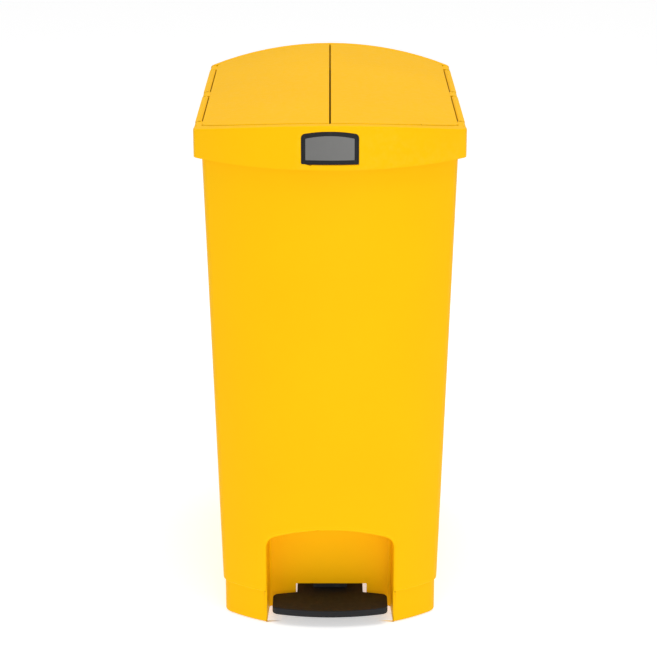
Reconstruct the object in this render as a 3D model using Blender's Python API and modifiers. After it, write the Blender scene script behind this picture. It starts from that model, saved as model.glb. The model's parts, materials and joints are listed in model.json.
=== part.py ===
"""A 30 litre waste bin: two wings hinged along its sides, opened by a pedal at its narrow end.

Metres. The front is -Y, the width runs along X, and the bin stands on Z = 0.
"""

import math

import bmesh
import bpy

# Overall size
WIDTH = 0.265
LENGTH = 0.425
HEIGHT = 0.535
BOW = 0.054  # how far each end wall bulges past the side walls
DOME = 0.0155  # rise of the lid from its long sides to its crown
FIT = 0.0003  # gap between pieces that touch
HALF = WIDTH / 2
END = LENGTH / 2

# Body
BODY_TOP_INSET = 0.0073  # the wall stands this far inside the rim at its top
BODY_FOOT_INSET = 0.0208
SKIRT_INSET = 0.0228
SKIRT_HEIGHT = 0.0368
BODY_WALL = 0.0025
BODY_CORNER = 0.016
FLOOR_HEIGHT = 0.048
FOOT_PROUD = 0.0008  # the rubber feet hold the skirt this far off the ground

# Toe recess
RECESS_HALF = 0.065
RECESS_SHOULDER = 0.095
RECESS_CROWN = 0.111
RECESS_CORNER = 0.014
RECESS_BACK = END - 0.0725  # distance of its back wall from the middle of the bin
SLOT_LEFT = 0.0358
SLOT_RIGHT = 0.0385
SLOT_HEIGHT = 0.027

# Lid frame and wings
RIM_HEIGHT = 0.0274
RIM_WALL = 0.003
RIM_CORNER = 0.010
LEDGE_FRONT = 0.0121
LEDGE_REAR = 0.0071
WING_GAP = 0.0015
WING_SPLIT = 0.0014
WING_WALL = 0.003
WING_LIP = 0.009
LIP_WALL = 0.0025
RABBET_DROP = 0.012  # depth of the pocket that the wings lie in
RABBET_WALL = 0.003
MOUTH_FRONT_INSET = 0.0204
MOUTH_REAR = END - 0.0845
MOUTH_CORNER = 0.012

# Wing hinges
BARREL_RADIUS = 0.0033
BARREL_GAP = 0.0013
BAR_DROP = 0.0004  # top of the hinge bars below the lid's surface
BAR_CHAMFER = 0.0018  # lets the wing's edge turn past the hinge bars
ROD_RADIUS = 0.0015
ROD_PLAY = 0.00035
LUG_LENGTH = 0.022
LUG_PLAY = 0.0008
WING_OPEN = math.radians(85)

# Lift: a crank pin under each wing rides in a slot of the yoke
CRANK = 0.016
PIN_RADIUS = 0.002
PIN_PLAY = 0.0009
EAR_FRONT = END - 0.0715
EAR_THICKNESS = 0.0035
EAR_REAR = EAR_FRONT + EAR_THICKNESS
EAR_RADIUS = 0.0032
YOKE_THICKNESS = 0.002
YOKE_BORDER = 0.0014
YOKE_DEPTH = 0.011
YOKE_DROP = 0.0205  # top of the yoke's beam below the crank pins
LIFT_ROD_RADIUS = 0.004
CLAMP_DEPTH = 0.0115
ROD_SLOT_LEFT = -0.001  # centres of the floor slot's round ends
ROD_SLOT_RIGHT = 0.024
ROD_SLOT_HALF = 0.0095
DAMPER_X = 0.026
DAMPER_RADIUS = 0.007
DAMPER_ROD_RADIUS = 0.002
DAMPER_LENGTH = 0.075
GUIDE_HEIGHT = 0.012
GUARD_Y = END - 0.0825
GUARD_THICKNESS = 0.0025

# Pedal and lever
PEDAL_HALF = 0.0597
PEDAL_FRONT = END - 0.023
PEDAL_BOW = 0.009
PEDAL_REAR = END - 0.067
PEDAL_ARM_HALF = 0.0345
PEDAL_ARM_REAR = END - 0.1145
PEDAL_BOTTOM = 0.012
PEDAL_THICKNESS = 0.0075
PEDAL_CORNER = 0.007
PEDAL_TURN = math.radians(75)  # how far round its rear corners go before the sloping shoulder
LEVER_HALF = 0.018
LEVER_THICKNESS = 0.004
LEVER_FRONT = END - 0.0785
EAR_STEEL = 0.003
AXLE_Y = 0.1325 - END
AXLE_Z = 0.0145
AXLE_RADIUS = 0.004
BUSH_WALL = 0.00125
BRACKET_X = 0.026
BRACKET_THICKNESS = 0.0025

# Liner
LINER_WALL = 0.002
LINER_TOP = 0.500
LINER_PLAY = 0.0015
LINER_STEP_LOW = 0.118
LINER_STEP_HIGH = 0.165

# Label plate
LABEL_HALF = 0.0272
LABEL_BOTTOM = 0.498
LABEL_HEIGHT = 0.0315
LABEL_ARCH = 0.003
LABEL_THICKNESS = 0.0013

# Worked out from the above
BOW_RADIUS = (HALF**2 + BOW**2) / (2 * BOW)
BOW_CENTRE = END - BOW_RADIUS
DOME_RADIUS = (HALF**2 + DOME**2) / (2 * DOME)
AXIS_X = HALF - BARREL_RADIUS
BORE_RADIUS = ROD_RADIUS + ROD_PLAY


def dome_z(x, drop=0.0):
    """Height of the lid's top surface at x, or of the surface that lies drop below it."""
    return HEIGHT - drop - DOME_RADIUS + math.sqrt(DOME_RADIUS**2 - x**2)


def bow_y(inset, x=0.0):
    """Distance from the middle to the end wall's bow, set in by inset, at x."""
    return BOW_CENTRE + math.sqrt((BOW_RADIUS - inset) ** 2 - x**2)


AXIS_Z = dome_z(AXIS_X) - BARREL_RADIUS - 0.0004
RIM_BOTTOM = HEIGHT - DOME - RIM_HEIGHT
BODY_TOP = dome_z(HALF - BODY_TOP_INSET, RABBET_DROP + RABBET_WALL) - FIT
PIN_ANGLE = WING_OPEN / 2
PIN_X = AXIS_X - CRANK * math.cos(PIN_ANGLE)
PIN_Z = AXIS_Z - CRANK * math.sin(PIN_ANGLE)
WING_EDGE = HALF - 2 * BARREL_RADIUS - BARREL_GAP
FRAME_SCREW_X = WING_EDGE - LIP_WALL - 0.0046
MOUTH_HALF = FRAME_SCREW_X - 0.0055
WING_FRONT_INSET = LEDGE_FRONT + WING_GAP
WING_REAR_INSET = LEDGE_REAR + WING_GAP
YOKE_Y = EAR_FRONT - 0.001 - YOKE_THICKNESS
ROD_Y = YOKE_Y + YOKE_THICKNESS + FIT + CLAMP_DEPTH / 2
BEAM_TOP = PIN_Z - YOKE_DROP
BEAM_BOTTOM = BEAM_TOP - YOKE_DEPTH
FLOOR_TOP = FLOOR_HEIGHT + BODY_WALL
LEVER_BOTTOM = PEDAL_BOTTOM + PEDAL_THICKNESS + FIT
LEVER_TOP = LEVER_BOTTOM + LEVER_THICKNESS
LEVER_REAR = ROD_Y + 0.008
BUSH_RADIUS = AXLE_RADIUS + ROD_PLAY + BUSH_WALL

for old in list(bpy.data.objects):
    bpy.data.objects.remove(old, do_unlink=True)


def collection(name):
    made = bpy.data.collections.new(name)
    bpy.context.scene.collection.children.link(made)
    return made


BIN = collection("waste_bin")
CUTTERS = collection("cutters")


def finish(name, colour, roughness, metallic=0.0):
    made = bpy.data.materials.new(name)
    made.use_nodes = True
    shader = made.node_tree.nodes["Principled BSDF"]
    shader.inputs["Base Color"].default_value = (*colour, 1.0)
    shader.inputs["Roughness"].default_value = roughness
    shader.inputs["Metallic"].default_value = metallic
    return made


YELLOW = finish("yellow_plastic", (0.95, 0.56, 0.01), 0.35)
BLACK = finish("black_plastic", (0.012, 0.012, 0.014), 0.45)
GREY = finish("grey_plastic", (0.16, 0.17, 0.18), 0.5)
NYLON = finish("white_nylon", (0.75, 0.74, 0.70), 0.4)
STEEL = finish("zinc_steel", (0.55, 0.56, 0.57), 0.32, 1.0)
BLACK_STEEL = finish("black_steel", (0.02, 0.02, 0.022), 0.4)
RUBBER = finish("black_rubber", (0.02, 0.02, 0.02), 0.85)


# Outlines: lists of (x, y) or (x, z), anticlockwise


def end_arc(half, apex, sag, corner, steps=16, corner_steps=4):
    """A bowed end from its right side to its left, with rounded corners; sag is the bow's depth."""
    sag = max(sag, 1e-5)
    radius = (half**2 + sag**2) / (2 * sag)
    centre = apex - radius
    across = half - corner
    up = centre + math.sqrt((radius - corner) ** 2 - across**2)
    turn = math.pi / 2 - math.atan2(across, up - centre)
    points = []
    for step in range(corner_steps + 1):
        angle = turn * step / corner_steps
        points.append((across + corner * math.cos(angle), up + corner * math.sin(angle)))
    for step in range(1, steps):
        angle = turn + (math.pi - 2 * turn) * step / steps
        points.append((radius * math.cos(angle), centre + radius * math.sin(angle)))
    for step in range(corner_steps, -1, -1):
        angle = turn * step / corner_steps
        points.append((-across - corner * math.cos(angle), up + corner * math.sin(angle)))
    return points


def opposite(points):
    """The same end turned to face the other way."""
    return [(-x, -y) for x, y in points]


def level_sag(half, apex):
    """Depth of an end that keeps an even distance from the bin's own bow."""
    radius = apex - BOW_CENTRE
    return radius - math.sqrt(radius**2 - half**2)


def bow_outline(inset, corner):
    """The bin's plan shape, set in all round."""
    half, apex = HALF - inset, END - inset
    end = end_arc(half, apex, level_sag(half, apex), corner)
    return end + opposite(end)


def arched(half, bottom, apex, sag, corner):
    """A flat foot with an arch over it."""
    return [(-half, bottom), (half, bottom)] + end_arc(half, apex, sag, corner)


def lid_outline(side_x, inner_x, front_inset, rear_inset, side, steps=10):
    """One wing's plan shape between inner_x and side_x; side is 1 for the right, -1 for the left."""
    spans = [inner_x + (side_x - inner_x) * step / steps for step in range(steps + 1)]
    points = [(x, -bow_y(front_inset, x)) for x in spans]
    points += [(x, bow_y(rear_inset, x)) for x in reversed(spans)]
    return [(side * x, y) for x, y in points]


def circle(x, z, radius, count=20):
    turns = [2 * math.pi * step / count for step in range(count)]
    return [(x + radius * math.cos(turn), z + radius * math.sin(turn)) for turn in turns]


def stadium(x0, x1, z, radius, count=8):
    """A slot with round ends, from x0 to x1 between the centres of its ends."""
    points = []
    for centre, start in ((x1, -math.pi / 2), (x0, math.pi / 2)):
        for step in range(count + 1):
            angle = start + math.pi * step / count
            points.append((centre + radius * math.cos(angle), z + radius * math.sin(angle)))
    return points


# Solids


def settle(bm, name, material=None, origin=(0, 0, 0)):
    """Makes an object of the mesh, with its origin where its joint turns or slides."""
    bmesh.ops.recalc_face_normals(bm, faces=bm.faces)
    bmesh.ops.translate(bm, verts=bm.verts, vec=[-value for value in origin])
    mesh = bpy.data.meshes.new(name)
    bm.to_mesh(mesh)
    bm.free()
    made = bpy.data.objects.new(name, mesh)
    made.location = origin
    if material:
        mesh.materials.append(material)
        BIN.objects.link(made)
    else:
        made.hide_render = True
        made.display_type = "WIRE"
        CUTTERS.objects.link(made)
    return made


def extruded(bm, points, low, high, axis="Z"):
    """Adds a flat outline drawn out along Z, Y or X."""
    place = {
        "Z": lambda p: (p[0], p[1], low),
        "Y": lambda p: (p[0], low, p[1]),
        "X": lambda p: (low, p[0], p[1]),
    }[axis]
    face = bm.faces.new([bm.verts.new(place(point)) for point in points])
    drawn = bmesh.ops.extrude_face_region(bm, geom=[face])["geom"]
    far = [item for item in drawn if isinstance(item, bmesh.types.BMVert)]
    shift = {"Z": (0, 0, high - low), "Y": (0, high - low, 0), "X": (high - low, 0, 0)}[axis]
    bmesh.ops.translate(bm, verts=far, vec=shift)


def prism(name, points, low, high, axis="Z", material=None, origin=(0, 0, 0)):
    bm = bmesh.new()
    extruded(bm, points, low, high, axis)
    return settle(bm, name, material, origin)


def prisms(name, outlines, axis="Z"):
    """Several separate cutters in one object: (points, low, high) each."""
    bm = bmesh.new()
    for points, low, high in outlines:
        extruded(bm, points, low, high, axis)
    return settle(bm, name)


def loft(name, rings, material=None):
    """A closed solid through rings of (height, outline), all with the same number of points."""
    bm = bmesh.new()
    loops = []
    for height, points in rings:
        verts = [bm.verts.new((x, y, height)) for x, y in points]
        loops.append([bm.edges.new(pair) for pair in zip(verts, verts[1:] + verts[:1])])
    for lower, upper in zip(loops, loops[1:]):
        bmesh.ops.bridge_loops(bm, edges=lower + upper)
    bmesh.ops.contextual_create(bm, geom=loops[0])
    bmesh.ops.contextual_create(bm, geom=loops[-1])
    return settle(bm, name, material)


def add_box(bm, low, high):
    corner = bmesh.ops.create_cube(bm, size=1.0)["verts"]
    bmesh.ops.scale(bm, verts=corner, vec=[b - a for a, b in zip(low, high)])
    bmesh.ops.translate(bm, verts=corner, vec=[(a + b) / 2 for a, b in zip(low, high)])


def boxes(name, corners, material=None, origin=(0, 0, 0)):
    bm = bmesh.new()
    for low, high in corners:
        low, high = [min(p) for p in zip(low, high)], [max(p) for p in zip(low, high)]
        add_box(bm, low, high)
    return settle(bm, name, material, origin)


def turned(name, profile, at, axis, material, steps=20, ring=False):
    """A turned piece: (radius, height) down its outer side, with the height along axis from at."""
    mesh = bpy.data.meshes.new(name)
    edges = [(i, i + 1) for i in range(len(profile) - 1)]
    if ring:
        edges.append((len(profile) - 1, 0))
    mesh.from_pydata([(radius, 0, height) for radius, height in profile], edges, [])
    mesh.materials.append(material)
    made = bpy.data.objects.new(name, mesh)
    made.location = at
    made.rotation_euler = {
        "Z": (0, 0, 0),
        "-Z": (math.pi, 0, 0),
        "Y": (-math.pi / 2, 0, 0),
        "-Y": (math.pi / 2, 0, 0),
        "X": (0, math.pi / 2, 0),
        "-X": (0, -math.pi / 2, 0),
    }[axis]
    screw = made.modifiers.new("turn", "SCREW")
    screw.steps = steps
    screw.render_steps = steps
    screw.use_merge_vertices = True
    screw.merge_threshold = 1e-6
    screw.use_smooth_shade = True
    BIN.objects.link(made)
    return made


def shaft(name, radius, length, at, axis, material, steps=20):
    """A plain round bar from at, along axis."""
    return turned(name, [(0, length), (radius, length), (radius, 0), (0, 0)], at, axis, material, steps)


def screw_piece(name, at, axis, head, shank, length, material=STEEL):
    """A pan-head screw; at is under its head, and axis points out of the head."""
    profile = [
        (0, head * 0.7),
        (head * 0.6, head * 0.7),
        (head, head * 0.35),
        (head, 0),
        (shank, 0),
        (shank, -length),
        (0, -length - shank * 0.8),
    ]
    return turned(name, profile, at, axis, material, 12)


def combine(target, tool, operation):
    step = target.modifiers.new(operation.lower(), "BOOLEAN")
    step.object = tool
    step.operation = operation
    step.solver = "EXACT"
    weld = target.modifiers.new("weld", "WELD")
    weld.merge_threshold = 5e-6


def cut(target, *tools):
    for tool in tools:
        combine(target, tool, "DIFFERENCE")


def join(target, *tools):
    for tool in tools:
        combine(target, tool, "UNION")


def dome_block(name, drop):
    """Everything under the lid's domed surface, lowered by drop."""
    reach = HALF * 1.1
    spans = [reach - 2 * reach * step / 20 for step in range(21)]
    points = [(-reach, 0.3), (reach, 0.3)] + [(x, dome_z(x, drop)) for x in spans]
    return prism(name, points, -LENGTH, LENGTH, "Y")


OVER = HEIGHT + 0.03
DOME_TOP = dome_block("dome_top", 0)
DOME_UNDER = dome_block("dome_under", WING_WALL)
DOME_LIP = dome_block("dome_lip", WING_LIP)
DOME_RABBET = dome_block("dome_rabbet", RABBET_DROP)
DOME_RABBET_UNDER = dome_block("dome_rabbet_under", RABBET_DROP + RABBET_WALL)


def body_inset(height):
    """How far the body's outer face is set in at a height above the skirt."""
    share = (height - SKIRT_HEIGHT) / (BODY_TOP - SKIRT_HEIGHT)
    return BODY_FOOT_INSET + (BODY_TOP_INSET - BODY_FOOT_INSET) * share


def body_half(height):
    """Half the clear width inside the body."""
    return HALF - body_inset(height) - BODY_WALL


def body_rings(wall, low, high):
    """Rings of the body's shape, wall inside its outer face, between two heights."""
    rings = []
    if low < SKIRT_HEIGHT:
        skirt = bow_outline(SKIRT_INSET + wall, BODY_CORNER - wall)
        rings = [(low, skirt), (SKIRT_HEIGHT - 0.001, skirt)]
        low = SKIRT_HEIGHT
    for height in (low, high):
        rings.append((height, bow_outline(body_inset(height) + wall, BODY_CORNER - wall)))
    return rings


SCREW_RADIUS = 0.0018
THIN_SCREW_RADIUS = 0.0015
FRAME_SCREW_RADIUS = 0.002
FRAME_SCREWS = [(side * FRAME_SCREW_X, y) for side in (-1, 1) for y in (0.0845 - END, END - 0.1125)]
FOOT_PLACES = [(side * (HALF - 0.0365), end * (END - 0.0875)) for side in (-1, 1) for end in (-1, 1)]
GUARD_BACK = GUARD_Y + GUARD_THICKNESS + FIT
GUARD_SCREWS = [(side * (body_half(z) - 0.0045), z) for side in (-1, 1) for z in (0.106, 0.436)]
BRACKET_SCREWS = [side * (BRACKET_X + 0.010) for side in (-1, 1)]


def make_body():
    body = loft("body_shell", body_rings(0, FOOT_PROUD, BODY_TOP), YELLOW)

    def recess(name, grow):
        points = arched(
            RECESS_HALF + grow,
            -0.02,
            RECESS_CROWN + grow,
            RECESS_CROWN - RECESS_SHOULDER,
            RECESS_CORNER + grow,
        )
        return prism(name, points, -LENGTH, -RECESS_BACK + grow, "Y")

    hollow = recess("recess", 0)
    wall_round_hollow = recess("recess_wall", BODY_WALL)
    inside = loft("body_inside", body_rings(BODY_WALL, FLOOR_TOP, BODY_TOP + 0.02))
    under = loft("body_under", body_rings(BODY_WALL, -0.01, FLOOR_HEIGHT))
    cut(inside, wall_round_hollow)
    cut(under, wall_round_hollow)
    cut(body, hollow, inside, under)

    top_bosses = []
    for x, y in FRAME_SCREWS:
        inner, outer = x - math.copysign(0.0045, x), math.copysign(body_half(BODY_TOP) + 0.0005, x)
        top_bosses.append(((inner, y - 0.006, BODY_TOP - 0.016), (outer, y + 0.006, BODY_TOP - 0.0004)))
    join(body, boxes("top_bosses", top_bosses))
    guard_bosses = []
    for x, z in GUARD_SCREWS:
        inner, outer = x - math.copysign(0.005, x), x + math.copysign(0.0058, x)
        guard_bosses.append(((inner, GUARD_BACK, z - 0.006), (outer, GUARD_BACK + 0.010, z + 0.006)))
    join(body, boxes("guard_bosses", guard_bosses))
    foot_pads = []
    for x, y in FOOT_PLACES:
        outer = math.copysign(HALF - SKIRT_INSET - BODY_WALL / 2, x)
        foot_pads.append(((x - math.copysign(0.010, x), y - 0.012, 0.003), (outer, y + 0.012, 0.009)))
    join(body, boxes("foot_pads", foot_pads))
    slot = boxes(
        "arm_slot",
        [((-SLOT_LEFT, -RECESS_BACK - 0.01, -0.01), (SLOT_RIGHT, -RECESS_BACK + 0.01, SLOT_HEIGHT))],
    )
    low, high = FLOOR_HEIGHT - 0.01, FLOOR_TOP + 0.01
    # The rod's foot goes up through this slot when the linkage is fitted from below
    rod_slot = stadium(ROD_SLOT_LEFT, ROD_SLOT_RIGHT, ROD_Y, ROD_SLOT_HALF)
    holes = [(rod_slot, low, high)]
    holes += [(circle(x, AXLE_Y, SCREW_RADIUS + FIT, 12), low, high) for x in BRACKET_SCREWS]
    low, high = BODY_TOP - 0.014, BODY_TOP + 0.01
    holes += [(circle(x, y, FRAME_SCREW_RADIUS + FIT, 12), low, high) for x, y in FRAME_SCREWS]
    screws = [(circle(x, z, THIN_SCREW_RADIUS + FIT, 12), GUARD_Y, GUARD_Y + 0.011) for x, z in GUARD_SCREWS]
    cut(body, slot, prisms("upright_holes", holes), prisms("guard_holes", screws, "Y"))


def wing_lugs():
    """Each lug's ends along Y, from the front."""
    front = -bow_y(WING_FRONT_INSET, WING_EDGE) + 0.0005
    rear = bow_y(WING_REAR_INSET, WING_EDGE) - 0.001
    middle = (front + rear) / 2
    return [
        (front, front + LUG_LENGTH),
        (middle - LUG_LENGTH / 2, middle + LUG_LENGTH / 2),
        (rear - LUG_LENGTH, rear),
    ]


LUGS = wing_lugs()
ROD_FRONT = LUGS[0][0] - 0.0035
ROD_REAR = LUGS[2][1] + 0.0035


def make_frame():
    frame = prism("lid_frame", bow_outline(0, RIM_CORNER), RIM_BOTTOM, OVER, "Z", YELLOW)
    combine(frame, DOME_TOP, "INTERSECT")

    def pocket(name, grow):
        reach = HALF - RIM_WALL / 2 if grow else HALF - 2 * BARREL_RADIUS + 0.0003
        right = lid_outline(reach, 0, LEDGE_FRONT - grow, LEDGE_REAR - grow, 1)
        left = [(-x, y) for x, y in reversed(right[1:-1])]
        return prism(name, right + left, 0.4, OVER)

    kept = pocket("rabbet_kept", RIM_WALL)
    cut(kept, DOME_RABBET_UNDER)
    under = prism("rim_inside", bow_outline(RIM_WALL, RIM_CORNER - RIM_WALL), RIM_BOTTOM - 0.01, OVER)
    combine(under, DOME_UNDER, "INTERSECT")
    cut(under, kept)
    well = pocket("wing_well", 0)
    cut(well, DOME_RABBET)
    mouth_apex = END - MOUTH_FRONT_INSET
    mouth_end = end_arc(MOUTH_HALF, mouth_apex, level_sag(MOUTH_HALF, mouth_apex), MOUTH_CORNER)
    mouth = prism(
        "mouth",
        opposite(mouth_end) + [(MOUTH_HALF, MOUTH_REAR), (-MOUTH_HALF, MOUTH_REAR)],
        0.41,
        OVER + 0.01,
    )
    cut(frame, under, well, mouth)

    bar_top = AXIS_Z - BARREL_RADIUS * 0.8
    slot_floor = AXIS_Z - BARREL_RADIUS - 0.0006
    side_cuts, lug_cuts, bosses = [], [], []
    for side in (-1, 1):
        inner, outer = side * (WING_EDGE + 0.0004), side * (HALF + 0.005)
        low, high = LUGS[0][0] - LUG_PLAY, LUGS[2][1] + LUG_PLAY
        side_cuts.append(((inner, low, bar_top), (outer, high, OVER)))
        for start, stop in LUGS:
            lug_cuts.append(((inner, start - LUG_PLAY, slot_floor), (outer, stop + LUG_PLAY, OVER)))
        boss_outer = side * (AXIS_X + BARREL_RADIUS * 0.6)
        boss_inner = side * (AXIS_X - BARREL_RADIUS - 0.0005)
        base = AXIS_Z - BARREL_RADIUS - 0.002
        bosses.append(((boss_inner, low - 0.0045, base), (boss_outer, low + 0.0002, AXIS_Z + 0.0022)))
        bosses.append(((boss_inner, high - 0.0002, base), (boss_outer, high + 0.0040, AXIS_Z + 0.0022)))
    cut(frame, boxes("side_cuts", side_cuts), boxes("lug_cuts", lug_cuts))
    # Between the lugs the rods run through square bars, flush with the lid
    near_x, far_x = HALF - 2 * BARREL_RADIUS, HALF - 0.0002
    foot, crest_x = AXIS_Z - BARREL_RADIUS * 0.9, near_x + BAR_CHAMFER
    bar = [(near_x, foot), (far_x, foot), (far_x, dome_z(far_x, BAR_DROP))]
    bar += [(crest_x, dome_z(crest_x, BAR_DROP)), (near_x, dome_z(near_x, BAR_CHAMFER))]
    bars = []
    for side in (-1, 1):
        for (_, start), (stop, _) in zip(LUGS, LUGS[1:]):
            near, far = start + LUG_PLAY + 0.0003, stop - LUG_PLAY - 0.0003
            bars.append(([(side * x, z) for x, z in bar], near, far))
    join(frame, prisms("hinge_bars", bars, "Y"), boxes("rod_bosses", bosses))
    bores, windows = [], []
    for side in (-1, 1):
        bores.append((circle(side * AXIS_X, AXIS_Z, BORE_RADIUS, 14), ROD_FRONT - FIT, ROD_REAR + FIT))
        low = (side * (PIN_X - 0.0105), YOKE_Y - 0.003, 0.4)
        high = (side * (PIN_X + 0.0054), EAR_REAR + 0.001, OVER)
        windows.append((low, high))
    screws = [(circle(x, y, FRAME_SCREW_RADIUS + 0.0006, 12), 0.48, OVER) for x, y in FRAME_SCREWS]
    cut(frame, prisms("rod_bores", bores, "Y"))
    cut(frame, boxes("crank_windows", windows), prisms("frame_screw_holes", screws))
    cut(frame, label_solid("label_seat", FIT, LABEL_THICKNESS + FIT, -0.01))


def label_solid(name, grow, depth, proud, material=None):
    """An arched plate that follows the rim's bow, from depth inside its face to proud inside it."""
    top = LABEL_BOTTOM + LABEL_HEIGHT
    points = arched(LABEL_HALF + grow, LABEL_BOTTOM - grow, top + grow, LABEL_ARCH, 0.004 + grow)
    plate = prism(name, points, -END - 0.02, -END + 0.02, "Y", material)
    for inset, operation in ((proud, "INTERSECT"), (depth, "DIFFERENCE")):
        drum = [(x, y - BOW_CENTRE) for x, y in circle(0, 0, BOW_RADIUS - inset, 100)]
        combine(plate, prism(f"{name}_{operation.lower()}", drum, 0.4, OVER), operation)
    return plate


def make_wing(side, name):
    origin = (side * AXIS_X, 0, AXIS_Z)
    plan = lid_outline(WING_EDGE, WING_SPLIT / 2, WING_FRONT_INSET, WING_REAR_INSET, side)
    wing = prism(name, plan, 0.4, OVER, "Z", YELLOW, origin)
    inner = lid_outline(
        WING_EDGE - LIP_WALL,
        WING_SPLIT / 2 + LIP_WALL,
        WING_FRONT_INSET + LIP_WALL,
        WING_REAR_INSET + LIP_WALL,
        side,
    )
    hollow = prism(f"{name}_hollow", inner, 0.4, OVER)
    combine(hollow, DOME_UNDER, "INTERSECT")
    combine(wing, DOME_TOP, "INTERSECT")
    cut(wing, DOME_LIP, hollow)
    reliefs = [
        (circle(side * WING_EDGE, -bow_y(WING_FRONT_INSET, WING_EDGE), 0.0022, 12), 0.4, OVER),
        (circle(side * WING_EDGE, bow_y(WING_REAR_INSET, WING_EDGE), 0.0022, 12), 0.4, OVER),
    ]
    # A notch in the lip lets the yoke's arm rise past it
    inner, outer = side * (WING_EDGE - LIP_WALL - 0.001), side * (WING_EDGE + 0.001)
    notch = [((inner, YOKE_Y - 0.001, 0.4), (outer, YOKE_Y + YOKE_THICKNESS + 0.001, AXIS_Z + 0.0012))]
    cut(wing, prisms(f"{name}_reliefs", reliefs), boxes(f"{name}_notch", notch))
    arms, eyes = [], []
    for start, stop in LUGS:
        start += 0.0025
        low = (side * (WING_EDGE - 0.002), start, AXIS_Z - BARREL_RADIUS / 2)
        arms.append((low, (side * AXIS_X, stop, AXIS_Z + BARREL_RADIUS - 0.0001)))
        eyes.append((circle(side * AXIS_X, AXIS_Z, BARREL_RADIUS, 20), start, stop))
    join(wing, boxes(f"{name}_arms", arms), prisms(f"{name}_eyes", eyes, "Y"))
    low = (side * (PIN_X - EAR_RADIUS), EAR_FRONT, PIN_Z)
    high = (side * (PIN_X + EAR_RADIUS), EAR_REAR, dome_z(PIN_X) - 0.0015)
    ear_end = circle(side * PIN_X, PIN_Z, EAR_RADIUS * 1.002, 20)
    join(
        wing,
        boxes(f"{name}_ear", [(low, high)]),
        prism(f"{name}_ear_end", ear_end, EAR_FRONT + 0.0001, EAR_REAR - 0.0001, "Y"),
    )
    bores = [
        (circle(side * AXIS_X, AXIS_Z, BORE_RADIUS, 14), -END, END),
        (circle(side * PIN_X, PIN_Z, PIN_RADIUS + FIT, 16), EAR_FRONT - 0.01, EAR_REAR + 0.01),
    ]
    cut(wing, prisms(f"{name}_bores", bores, "Y"))


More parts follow.
